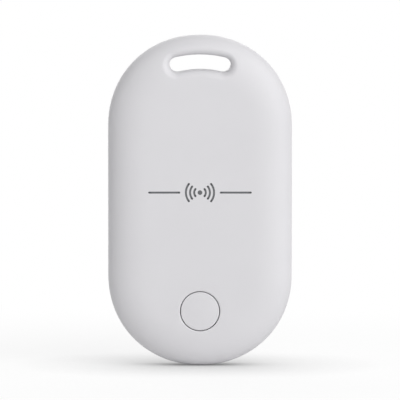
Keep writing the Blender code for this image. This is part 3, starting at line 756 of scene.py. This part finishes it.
def thicken(obj, thickness):
    """Gives an open skin a wall on its inner side."""
    solidify = obj.modifiers.new("Wall", "SOLIDIFY")
    solidify.thickness = thickness
    solidify.offset = -1.0


# ---------------------------------------------------------------- pieces

CAP_LOW, CAP_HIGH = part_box("button_cap")
BUTTON_HEIGHT = (CAP_LOW.z + CAP_HIGH.z) / 2
DOOR_LOW, DOOR_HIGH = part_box("battery_door")
DOOR_HEIGHT = (DOOR_LOW.z + DOOR_HIGH.z) / 2
DOOR_RADIUS = (DOOR_HIGH.x - DOOR_LOW.x) / 2
RECESS_RADIUS = DOOR_RADIUS + 0.15 * MM
LEDGE_TOP = 2.4 * MM
SEAM = 0.88 * MM
REAR_SEAM = 1.02 * MM
BUTTON_HOLE = 3.47 * MM
BUTTON_RADIUS = 3.34 * MM
BUTTON_MOUTH = 0.14 * MM
BUTTON_WALL = 1.2 * MM
RECESS_MOUTH = 0.18 * MM
MARK_HEIGHT = 30.35 * MM

# The door's bayonet, in the order of its depths
LEDGE_UNDER = 1.8 * MM
LUG_TOP = 1.65 * MM
SKIRT_END = DOOR_LOW.y
COLLAR_END = SKIRT_END - 0.15 * MM
SKIRT_INSIDE = 10.4 * MM
SKIRT_OUTSIDE = 11.0 * MM
BORE = 11.15 * MM
LUG_RADIUS = 11.5 * MM
CHANNEL = 11.65 * MM
COLLAR = 12.6 * MM
LUG_ANGLE = 22.0
NOTCH_ANGLE = 27.0
LIP_OUTER = 0.8 * MM
LIP_INNER = 1.4 * MM
LIP_END = -0.3 * MM
LIP_ROOT = 1.6 * MM
COIN_SLOT = 13.0 * MM
COIN_SLOT_HALF = 0.9 * MM


def make_front_shell(white):
    """The front shell: the face, its soft edge, the key slot and the button's hole."""
    hole = (BUTTON_HOLE, BUTTON_HEIGHT, BUTTON_MOUTH, -HALF_DEPTH + BUTTON_WALL)
    bm = make_skin(-1, FRONT_ROUND, FRONT_POWER, SEAM, hole)
    shell = finish_object(
        "front_shell_skin", bm, "housing", white, ["front_shell"]
    )
    thicken(shell, SKIN)


def make_rear_cover(white):
    """The rear cover: the flat back, the other half of the key slot and the door's recess."""
    hole = (RECESS_RADIUS, DOOR_HEIGHT, RECESS_MOUTH, LEDGE_TOP)
    bm = make_skin(1, BACK_ROUND, BACK_POWER, REAR_SEAM, hole)
    cover = finish_object(
        "rear_cover_skin", bm, "housing", white, ["rear_cover"]
    )
    thicken(cover, SKIN)


def soften(corners, steps=4):
    """Rounds the corners of a profile: each corner is (radius, depth, fillet)."""
    points = []
    for index, (radius, depth, fillet) in enumerate(corners):
        here = Vector((radius, depth))
        if not fillet or index in (0, len(corners) - 1):
            points.append(here)
            continue
        before = (Vector(corners[index - 1][:2]) - here).normalized()
        after = (Vector(corners[index + 1][:2]) - here).normalized()
        start, end = here + before * fillet, here + after * fillet
        for step in range(steps + 1):
            share = step / steps
            bend = (1 - share) ** 2 * start + 2 * share * (1 - share) * here + share**2 * end
            points.append(bend)
    return points


def turn_profile(profile, height, steps):
    """Spins a profile of (radius, depth) about an axis along Y into a closed solid."""
    bm = bmesh.new()
    verts = [bm.verts.new((point[0], point[1], 0)) for point in profile]
    edges = [bm.edges.new(pair) for pair in zip(verts, verts[1:])]
    bmesh.ops.spin(
        bm,
        geom=verts + edges,
        cent=(0, 0, 0),
        axis=(0, 1, 0),
        angle=2 * pi,
        steps=steps,
        use_merge=True,
    )
    bmesh.ops.remove_doubles(bm, verts=bm.verts, dist=1e-7)
    bmesh.ops.dissolve_degenerate(bm, dist=1e-8, edges=bm.edges)
    bmesh.ops.translate(bm, verts=bm.verts, vec=(0, 0, height))
    bmesh.ops.recalc_face_normals(bm, faces=bm.faces)
    return bm


def make_button(white):
    """The round button: flush with the face, with a crisp rolled edge and its flange."""
    front, back = -HALF_DEPTH, CAP_HIGH.y
    flange_front = back - 0.3 * MM
    hollow, hollow_floor = 2.3 * MM, -3.1 * MM
    reach = (CAP_HIGH.x - CAP_LOW.x) / 2
    profile = soften([
        (0, front, 0),
        (BUTTON_RADIUS, front, 0.16 * MM),
        (BUTTON_RADIUS, flange_front, 0),
        (reach, flange_front, 0.08 * MM),
        (reach, back, 0.08 * MM),
        (hollow, back, 0),
        (hollow, hollow_floor, 0),
        (0, hollow_floor, 0),
    ])
    bm = turn_profile(profile, BUTTON_HEIGHT, steps=144)
    finish_object("button_disc", bm, "button", white, ["button_cap"])


def arc_block(bm, inner, outer, back, front, middle, angle, steps=12):
    """Adds a closed block of a ring around the cell's axis, its middle at an angle."""
    corners = ((inner, back), (outer, back), (outer, front), (inner, front))
    section = bm.faces.new([bm.verts.new((r, y, 0)) for r, y in corners])
    first = Matrix.Rotation(middle - angle / 2, 3, "Y")
    bmesh.ops.rotate(bm, verts=section.verts, matrix=first)
    bmesh.ops.spin(
        bm, geom=[section], cent=(0, 0, 0), axis=(0, 1, 0), angle=angle, steps=steps
    )


def make_door_seat(white):
    """The ledge the door's seal sits on, its three notches, the collar and the seam's lip."""
    bm = bmesh.new()
    third, notch = radians(120), radians(NOTCH_ANGLE)
    for number in range(3):
        middle = number * third
        solid = middle + third / 2
        arc_block(bm, BORE, COLLAR, LEDGE_TOP, LEDGE_UNDER, solid, third - notch, 40)
        arc_block(bm, CHANNEL, COLLAR, LEDGE_UNDER, COLLAR_END, solid, third - notch, 40)
        arc_block(bm, CHANNEL + 0.1 * MM, COLLAR, LEDGE_TOP, COLLAR_END, middle, notch, 16)
    bmesh.ops.translate(bm, verts=bm.verts, vec=(0, 0, DOOR_HEIGHT))
    bm.verts.layers.int.new("number")
    edges = start_loop(bm, OUTLINE_COUNT, ring_at(LIP_OUTER, LIP_ROOT))
    lip = ((LIP_OUTER, LIP_END), (LIP_INNER, LIP_END), (LIP_INNER, LIP_ROOT), (LIP_OUTER, LIP_ROOT))
    for inset, depth in lip:
        edges = pull_loop(bm, edges, ring_at(inset, depth))
    bmesh.ops.remove_doubles(bm, verts=bm.verts, dist=1e-7)
    bmesh.ops.recalc_face_normals(bm, faces=bm.faces)
    seat = finish_object(
        "rear_cover_seat", bm, "housing", white, ["rear_cover"]
    )
    sharpen(seat)


def ring_at(inset, depth):
    """Says where each point of the body's outline goes at an inset and a depth."""

    def place(index):
        across, up = outline_point(index, inset)
        return across, depth, up

    return place


def sharpen(obj, angle=32.0):
    """Keeps the edges of a piece crisp where its faces meet at more than an angle."""
    mesh = obj.data
    bm = bmesh.new()
    bm.from_mesh(mesh)
    for edge in bm.edges:
        if len(edge.link_faces) == 2:
            edge.smooth = edge.calc_face_angle(0.0) < radians(angle)
    bm.to_mesh(mesh)
    bm.free()


def coin_point(index, radius, count=96):
    """One of the points around the coin slot at a given half-width, as (across, up)."""
    straight = COIN_SLOT / 2 - COIN_SLOT_HALF
    side = 1 if index < count // 2 else -1
    share = (index % (count // 2)) / (count // 2 - 1)
    angle = pi * (0.5 - share)
    x = side * (straight + radius * cos(angle))
    return x, DOOR_HEIGHT + side * radius * sin(angle)


def make_battery_door(white):
    """The turned door with its coin slot, its skirt and the three lugs of its bayonet."""
    bm = bmesh.new()
    bm.verts.layers.int.new("number")
    face, under = DOOR_HIGH.y, DOOR_HIGH.y - 1.0 * MM
    edge, mouth = 0.28 * MM, 0.14 * MM

    def round_ring(radius, depth):
        def place(index):
            x, z = circle_point(index, radius, DOOR_HEIGHT, 144)
            return x, depth, z

        return place

    def coin_ring(radius, depth):
        def place(index):
            x, z = coin_point(index, radius)
            return x, depth, z

        return place

    rim = start_loop(bm, 144, round_ring(DOOR_RADIUS - edge, face))
    slot = start_loop(bm, 96, coin_ring(COIN_SLOT_HALF + mouth, face))
    bmesh.ops.triangle_fill(bm, use_beauty=True, edges=rim + slot, normal=(0, 1, 0))
    for step in range(1, 6):
        turn = pi / 2 * step / 5
        drop, out = edge * (1 - cos(turn)), edge * sin(turn)
        rim = pull_loop(bm, rim, round_ring(DOOR_RADIUS - edge + out, face - drop))
    skirt = (
        (DOOR_RADIUS, under + 0.1 * MM),
        (DOOR_RADIUS - 0.1 * MM, under),
        (SKIRT_OUTSIDE, under),
        (SKIRT_OUTSIDE, SKIRT_END + 0.1 * MM),
        (SKIRT_OUTSIDE - 0.1 * MM, SKIRT_END),
        (SKIRT_INSIDE + 0.1 * MM, SKIRT_END),
        (SKIRT_INSIDE, SKIRT_END + 0.1 * MM),
        (SKIRT_INSIDE, under),
    )
    for radius, depth in skirt:
        rim = pull_loop(bm, rim, round_ring(radius, depth))
    bmesh.ops.triangle_fill(bm, use_beauty=True, edges=rim, normal=(0, -1, 0))
    for step in range(1, 5):
        turn = pi / 2 * step / 4
        radius = COIN_SLOT_HALF + mouth * (1 - sin(turn))
        slot = pull_loop(bm, slot, coin_ring(radius, face - mouth * (1 - cos(turn))))
    floor = face - 0.55 * MM
    slot = pull_loop(bm, slot, coin_ring(COIN_SLOT_HALF, floor + 0.1 * MM))
    slot = pull_loop(bm, slot, coin_ring(COIN_SLOT_HALF - 0.1 * MM, floor))
    bmesh.ops.triangle_fill(bm, use_beauty=True, edges=slot, normal=(0, 1, 0))
    lugs = bmesh.new()
    for number in range(3):
        middle = number * radians(120)
        arc_block(
            lugs, SKIRT_OUTSIDE - 0.2 * MM, LUG_RADIUS, LUG_TOP, SKIRT_END, middle,
            radians(LUG_ANGLE), 14
        )
    bmesh.ops.translate(lugs, verts=lugs.verts, vec=(0, 0, DOOR_HEIGHT))
    bmesh.ops.recalc_face_normals(lugs, faces=lugs.faces)
    outer = [edge for edge in lugs.edges if edge.calc_face_angle(0.0) > radians(60)]
    bmesh.ops.bevel(
        lugs, geom=outer, offset=0.08 * MM, affect="EDGES", segments=2, profile=0.5, material=-1
    )
    extra = bpy.data.meshes.new("lugs")
    lugs.to_mesh(extra)
    lugs.free()
    bmesh.ops.recalc_face_normals(bm, faces=bm.faces)
    bm.from_mesh(extra)
    door = finish_object(
        "battery_door_disc", bm, "door", white, ["battery_door"]
    )
    sharpen(door)


def make_door_seal():
    """The O-ring: a round rubber cord that lies on the ledge around the door's skirt."""
    low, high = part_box("battery_door_seal")
    section = (high.y - low.y) / 2
    radius = (high.x - low.x) / 2 - section
    bm = bmesh.new()
    turn = Matrix.Translation((radius, (low.y + high.y) / 2, 0))
    made = bmesh.ops.create_circle(
        bm, cap_ends=False, segments=20, radius=section, matrix=turn
    )["verts"]
    edges = {edge for vert in made for edge in vert.link_edges}
    bmesh.ops.spin(
        bm,
        geom=list(made) + list(edges),
        cent=(0, 0, 0),
        axis=(0, 1, 0),
        angle=2 * pi,
        steps=128,
        use_merge=True,
    )
    bmesh.ops.remove_doubles(bm, verts=bm.verts, dist=1e-7)
    bmesh.ops.translate(bm, verts=bm.verts, vec=(0, 0, DOOR_HEIGHT))
    bmesh.ops.recalc_face_normals(bm, faces=bm.faces)
    finish_object(
        "door_o_ring", bm, "door_seal", silicone_rubber(), ["battery_door_seal"]
    )


def add_stroke(bm, inner, outer, middle, angle, back, front, at, steps=20):
    """Adds an arc of a printed line around a point, with round ends."""
    part = bmesh.new()
    arc_block(part, inner, outer, back, front, middle, angle, steps)
    for end in (middle - angle / 2, middle + angle / 2):
        radius = (inner + outer) / 2
        place = Vector((radius * cos(end), 0, -radius * sin(end)))
        add_dot(part, (outer - inner) / 2, back, front, place)
    move_in(bm, part, at)


def add_dot(bm, radius, back, front, at, segments=28):
    """Adds a round printed dot, with its axis along Y."""
    turn = Matrix.Translation(Vector(at) + Vector((0, (back + front) / 2, 0)))
    bmesh.ops.create_cone(
        bm,
        cap_ends=True,
        segments=segments,
        radius1=radius,
        radius2=radius,
        depth=abs(back - front),
        matrix=turn @ Matrix.Rotation(pi / 2, 4, "X"),
    )


def add_bar(bm, start, end, half, back, front):
    """Adds a straight printed line between two points, with round ends."""
    part = bmesh.new()
    run = Vector(end) - Vector(start)
    size = Matrix.Diagonal((run.length, abs(back - front), 2 * half, 1))
    bmesh.ops.create_cube(part, size=1.0, matrix=size)
    tilt = Matrix.Rotation(-atan2(run.z, run.x), 4, "Y")
    middle = (Vector(start) + Vector(end)) / 2 + Vector((0, (back + front) / 2, 0))
    bmesh.ops.transform(part, verts=part.verts, matrix=Matrix.Translation(middle) @ tilt)
    for point in (start, end):
        add_dot(part, half, back, front, point)
    move_in(bm, part, (0, 0, 0))


def move_in(bm, part, at):
    """Moves one bmesh's shape into another at a place."""
    bmesh.ops.translate(part, verts=part.verts, vec=at)
    mesh = bpy.data.meshes.new("part")
    part.to_mesh(mesh)
    part.free()
    bm.from_mesh(mesh)
    bpy.data.meshes.remove(mesh)


def flat_mark(name, bm, body, material):
    """Makes a thin printed or etched mark an object that rides a body."""
    bmesh.ops.recalc_face_normals(bm, faces=bm.faces)
    finish_object(name, bm, body, material).data.shade_flat()


def make_radio_mark():
    """The printed sign on the face: radio waves on both sides of a dot, and two fine rules."""
    back, front = -HALF_DEPTH + 0.02 * MM, -HALF_DEPTH - 0.015 * MM
    bm = bmesh.new()
    for radius in (1.0 * MM, 1.72 * MM, 2.44 * MM):
        for middle in (0.0, pi):
            inner, outer = radius - 0.17 * MM, radius + 0.17 * MM
            at = (0, 0, MARK_HEIGHT)
            add_stroke(bm, inner, outer, middle, radians(76), back, front, at)
    add_dot(bm, 0.4 * MM, back, front, (0, 0, MARK_HEIGHT))
    for side in (-1, 1):
        start = (side * 3.6 * MM, 0, MARK_HEIGHT)
        add_bar(bm, start, (side * 8.8 * MM, 0, MARK_HEIGHT), 0.17 * MM, back, front)
    flat_mark("printed_radio_sign", bm, "housing", pad_ink())


def make_back_marks():
    """Turning marks: an index on the door, and the open and closed places beside it."""
    back, front = HALF_DEPTH + 0.012 * MM, HALF_DEPTH - 0.02 * MM
    door = bmesh.new()
    top = DOOR_HEIGHT + DOOR_RADIUS
    at = (0, 0, DOOR_HEIGHT)
    # The index points up at rest, which is the open place.
    for side in (-1, 1):
        tip = Vector((0, 0, top - 0.9 * MM))
        add_bar(door, tip, (side * 0.6 * MM, 0, top - 1.7 * MM), 0.11 * MM, back, front)
    # Two arrows follow the turn that locks the door, clockwise seen from the back.
    for middle in (radians(45), radians(225)):
        arc = 8.6 * MM
        half = 0.11 * MM
        add_stroke(door, arc - half, arc + half, middle, radians(40), back, front, at, 28)
        end = middle - radians(20)
        tip = Vector((arc * cos(end), 0, -arc * sin(end)))
        for lean in (radians(38), radians(-38)):
            heading = end - pi / 2 + pi + lean
            away = Vector((cos(heading), 0, -sin(heading))) * 0.95 * MM
            add_bar(
                door, tip + Vector(at), tip + Vector(at) + away, half, back, front
            )
    flat_mark("door_turning_marks", door, "door", etched_plastic())

    cover = bmesh.new()
    for turn, ring_only in ((0.0, True), (radians(-30), False)):
        middle = DOOR_RADIUS + 1.35 * MM
        place = Vector((middle * sin(turn), 0, DOOR_HEIGHT + middle * cos(turn)))
        if ring_only:
            add_stroke(
                cover, 0.28 * MM, 0.46 * MM, 0.0, radians(359), back, front, place, 32
            )
        else:
            add_dot(cover, 0.46 * MM, back, front, place)
    flat_mark("cover_turning_marks", cover, "housing", etched_plastic())


def make_coin_cell():
    """The cell's steel can, with its soft pressed edge, and a plus sign etched in it."""
    low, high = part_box("cell_can")
    radius = (high.x - low.x) / 2
    height = (high.z + low.z) / 2
    wall = 0.25 * MM
    profile = soften([
        (0, high.y, 0),
        (radius - 1.5 * MM, high.y, 0.1 * MM),
        (radius - 1.6 * MM, high.y - 0.05 * MM, 0.04 * MM),
        (radius - 0.9 * MM, high.y - 0.05 * MM, 0.1 * MM),
        (radius, high.y - 0.12 * MM, 0.4 * MM),
        (radius, low.y, 0.2 * MM),
        (radius - 0.7 * MM, low.y, 0.1 * MM),
        (radius - 0.7 * MM, low.y + wall, 0.1 * MM),
        (radius - wall, low.y + wall, 0),
        (radius - wall, high.y - wall - 0.12 * MM, 0),
        (0, high.y - wall - 0.12 * MM, 0),
    ])
    bm = turn_profile(profile, height, steps=144)
    can = finish_object("coin_cell_can", bm, "cell", cell_steel(), ["cell_can"])
    sharpen(can, 40)
    bm = bmesh.new()
    back, front = high.y + 0.01 * MM, high.y - 0.02 * MM
    for way in (Vector((1.6 * MM, 0, 0)), Vector((0, 0, 1.6 * MM))):
        at = Vector((0, 0, height + 4.6 * MM))
        add_bar(bm, at - way, at + way, 0.2 * MM, back, front)
    flat_mark("cell_plus_sign", bm, "cell", etched_steel())


def dress_cad_nodes():
    """Gives every solid that keeps its own shape the finish of its real material."""
    finishes = {
        silicone_rubber: ("shell_gasket", "button_pad"),
        filled_nylon: ("cell_tray", "switch_base", "switch_plunger", "cell_gasket"),
        bright_steel: ("switch_cover", "switch_dome", "main_crystal", "clock_crystal"),
        tinned_leg: ("switch_leg_1", "switch_leg_2", "switch_leg_3", "switch_leg_4"),
        zinced_screw: ("tray_screw_1", "tray_screw_2", "tray_screw_3", "tray_screw_4"),
        solder_mask: ("circuit_board",),
        moulding_resin: ("radio_chip",),
        ferrite: ("inductor",),
        chip_ceramic: ("capacitor_1", "capacitor_2", "capacitor_3", "capacitor_4"),
        resistor_film: ("resistor_1", "resistor_2"),
        antenna_ceramic: ("chip_antenna",),
        cell_steel: ("cell_cap",),
        lithium_foil: ("cell_anode",),
        separator_fleece: ("cell_separator",),
        pressed_powder: ("cell_cathode",),
        spring_bronze: (
            "negative_contact", "positive_contact", "sounder_spring_1", "sounder_spring_2"
        ),
        rolled_brass: ("sounder_plate",),
        silvered_ceramic: ("sounder_ceramic",),
        foam_adhesive: ("sounder_adhesive",),
    }
    for make, names in finishes.items():
        material = make()
        for name in names:
            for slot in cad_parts[name].material_slots:
                slot.material = material


# ---------------------------------------------------------------- stage, lights, camera


# The floor's painted shadow: how far the tag dims the floor's glow, and the glow's darkest and open
# levels.
PAINTED_SHADOW_REACH = 20 * MM
DARKEST_PAINTED_SHADOW = 0.17
UNSHADED_FLOOR_GLOW = 0.745
FADE_START = 45 * MM
FADE_END = 120 * MM


def place_camera():
    """A long lens in front of the tag, a little above its middle."""
    distance, rise = 0.7745, radians(3.6)
    data = bpy.data.cameras.new("camera")
    data.lens = 400.0
    data.sensor_width = 36.0
    camera = bpy.data.objects.new("camera", data)
    bpy.context.scene.collection.objects.link(camera)
    target = Vector((0.0, 0.0, HEIGHT / 2))
    camera.location = target + Vector((0.0, -distance * cos(rise), distance * sin(rise)))
    camera.rotation_euler = (target - camera.location).to_track_quat("-Z", "Y").to_euler()
    data.clip_start = 0.05
    bpy.context.scene.camera = camera


def seen_rays(tree):
    """One for rays that see a thing, directly, in a gloss or through glass, and else zero."""
    path = add(tree, "LightPath")
    first = add(
        tree,
        "Math",
        links={0: path.outputs["Is Camera Ray"], 1: path.outputs["Is Glossy Ray"]},
        operation="MAXIMUM",
    )
    return add(
        tree,
        "Math",
        links={0: first.outputs[0], 1: path.outputs["Is Transmission Ray"]},
        operation="MAXIMUM",
    ).outputs[0]


def make_stage():
    """A pale floor that fades into the white surroundings. The tag's soft shadow on it is mostly
    painted by the floor's glow, and only a little is cast by the lamps.
    """
    bm = bmesh.new()
    bmesh.ops.create_grid(bm, x_segments=1, y_segments=1, size=2.0)
    mesh = bpy.data.meshes.new("floor")
    bm.to_mesh(mesh)
    bm.free()
    floor = bpy.data.objects.new("floor", mesh)
    bpy.context.scene.collection.objects.link(floor)
    material = bpy.data.materials.new("Matt white paper sweep")
    material.use_nodes = True
    tree = material.node_tree
    tree.nodes.clear()
    output = add(tree, "OutputMaterial")
    paper = add(tree, "BsdfDiffuse", {"Color": srgb("EFEFEF")})
    # Where it is seen, the paper is a thin grey lifted nearly to white by a glow. The glow falls
    # where the tag shuts out the sky, so the soft shadow near the tag is mostly painted shadow, and
    # only a little of it is cast by the lamps on the thin grey.
    thin = add(tree, "BsdfDiffuse", {"Color": (0.3, 0.3, 0.3, 1.0)})
    shadow_painting_ao = add(tree, "AmbientOcclusion", {"Distance": PAINTED_SHADOW_REACH}, samples=24)
    painted_shadow_glow_level = add(
        tree,
        "MapRange",
        {"From Min": 0.1, "From Max": 1.0, "To Min": DARKEST_PAINTED_SHADOW, "To Max": UNSHADED_FLOOR_GLOW},
        {"Value": shadow_painting_ao.outputs["AO"]},
    )
    shadow_painting_glow = add(tree, "Emission", {"Color": (1, 1, 1, 1)}, {"Strength": painted_shadow_glow_level.outputs["Result"]})
    seen = add(tree, "AddShader", links={0: thin.outputs[0], 1: shadow_painting_glow.outputs[0]})
    white = add(tree, "Emission", {"Color": (1, 1, 1, 1), "Strength": 1.0})
    points = add(tree, "TexCoord").outputs["Object"]
    away = add(tree, "VectorMath", links={0: points}, operation="LENGTH")
    fade = add(
        tree,
        "MapRange",
        {"From Min": FADE_START, "From Max": FADE_END},
        {"Value": away.outputs["Value"]},
        interpolation_type="SMOOTHSTEP",
    )
    near_or_far = add(
        tree, "MixShader", links={0: fade.outputs["Result"], 1: seen.outputs[0], 2: white.outputs[0]}
    )
    watched = add(
        tree,
        "MixShader",
        links={0: seen_rays(tree), 1: paper.outputs[0], 2: near_or_far.outputs[0]},
    )
    tree.links.new(watched.outputs[0], output.inputs["Surface"])
    mesh.materials.append(material)

    world = bpy.data.worlds.new("soft surroundings")
    bpy.context.scene.world = world
    world.use_nodes = True
    tree = world.node_tree
    tree.nodes.clear()
    output = add(tree, "OutputWorld")
    glow = add(tree, "Background", {"Color": (1, 1, 1, 1), "Strength": 0.41})
    white = add(tree, "Background", {"Color": (1, 1, 1, 1), "Strength": 1.0})
    mixed = add(
        tree, "MixShader", links={0: seen_rays(tree), 1: glow.outputs[0], 2: white.outputs[0]}
    )
    tree.links.new(mixed.outputs[0], output.inputs["Surface"])
    bpy.context.scene.view_settings.view_transform = "Standard"


def make_lights():
    """A very broad soft box high in front on the right, and a weak one behind."""
    boxes = (
        ("key soft box", (0.68, -0.86, 0.60), 1.45, 13.1),
        ("back soft box", (-0.10, 0.75, 0.35), 0.8, 1.8),
    )
    for name, place, size, power in boxes:
        data = bpy.data.lights.new(name, "AREA")
        data.shape = "SQUARE"
        data.size = size
        data.energy = power
        light = bpy.data.objects.new(name, data)
        bpy.context.scene.collection.objects.link(light)
        light.location = place
        aim = Vector((0, 0, HEIGHT / 2)) - light.location
        light.rotation_euler = aim.to_track_quat("-Z", "Y").to_euler()


main()
